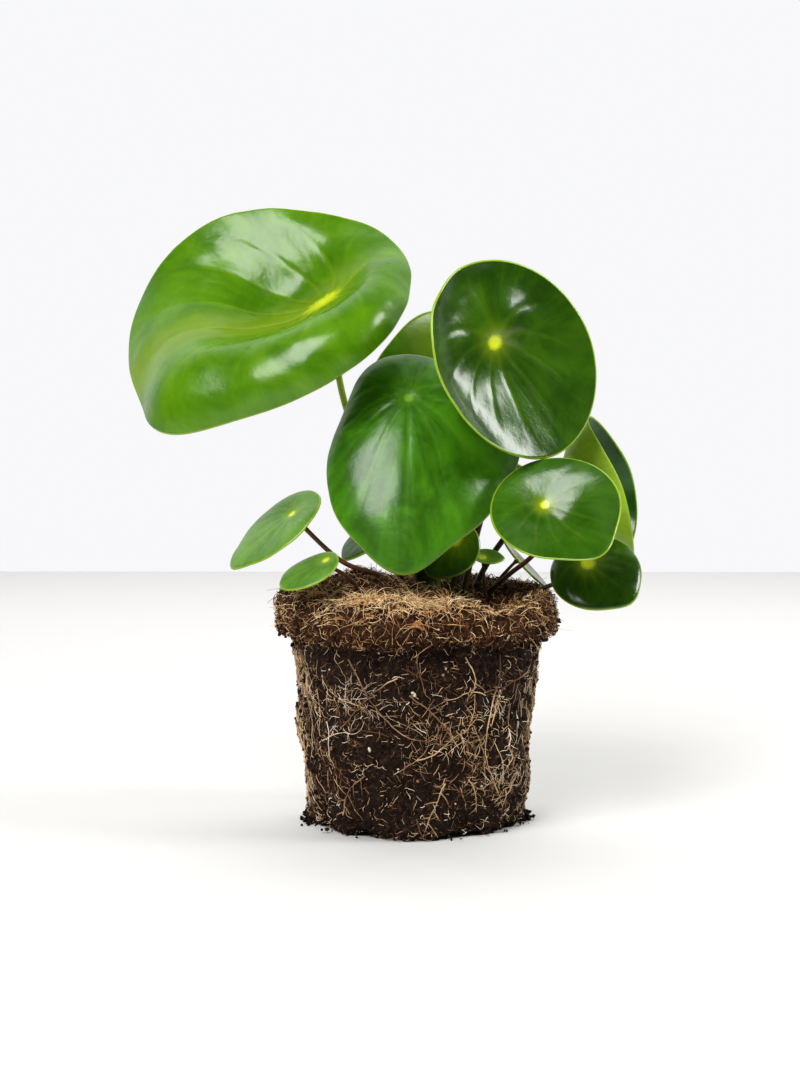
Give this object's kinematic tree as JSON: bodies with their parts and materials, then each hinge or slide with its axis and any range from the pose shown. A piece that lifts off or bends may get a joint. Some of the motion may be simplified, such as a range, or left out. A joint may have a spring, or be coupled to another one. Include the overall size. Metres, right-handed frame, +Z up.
{
  "type": "raindrop peperomia plant with a bare root ball",
  "caption": "Bushy peperomia lifted from its pot: thick glossy shield-shaped leaves on slim stalks above a fleshy crown and a pot-shaped root ball of peat and coir wrapped in fine roots.",
  "frame": {"origin": "centre of the root ball's flat underside, where it stands", "axes": "+Z up through the root ball and the crown; -Y is the front, the side the broad middle leaf hangs on; +X is the right of the front view"},
  "size_m": [0.2185, 0.1458, 0.2581],
  "materials": {
    "leaf": "waxy semi-gloss",
    "young_leaf": "waxy satin",
    "green_petiole": "satin",
    "brown_petiole": "satin",
    "crown": "satin",
    "soil": "rough, crumbly",
    "root": "matte"
  },
  "bodies": {
    "root": {"large_left_blade": "leaf", "large_left_petiole": "green_petiole", "upper_right_blade": "leaf", "upper_right_petiole": "brown_petiole", "front_blade": "leaf", "front_petiole": "green_petiole", "upper_back_blade": "leaf", "upper_back_petiole": "green_petiole", "far_right_blade": "leaf", "far_right_petiole": "brown_petiole", "middle_right_blade": "leaf", "middle_right_petiole": "brown_petiole", "low_right_blade": "leaf", "low_right_petiole": "brown_petiole", "left_blade": "young_leaf", "left_petiole": "brown_petiole", "low_left_blade": "young_leaf", "low_left_petiole": "brown_petiole", "under_front_blade": "leaf", "under_front_petiole": "brown_petiole", "shaded_blade": "leaf", "shaded_petiole": "brown_petiole", "sprout_blade": "young_leaf", "sprout_petiole": "brown_petiole", "edge_on_blade": "leaf", "edge_on_petiole": "brown_petiole", "right_back_blade": "leaf", "right_back_petiole": "brown_petiole", "root_ball": "soil", "crown": "crown", "main_root_left": "root", "main_root_cross": "root", "main_root_centre": "root", "main_root_short": "root", "main_root_bow": "root", "main_root_right": "root", "main_root_fan": "root", "main_root_foot": "root", "fishbone_root": "root", "back_root_left": "root", "back_root_centre": "root", "back_root_right": "root"}
  },
  "joints": []
}
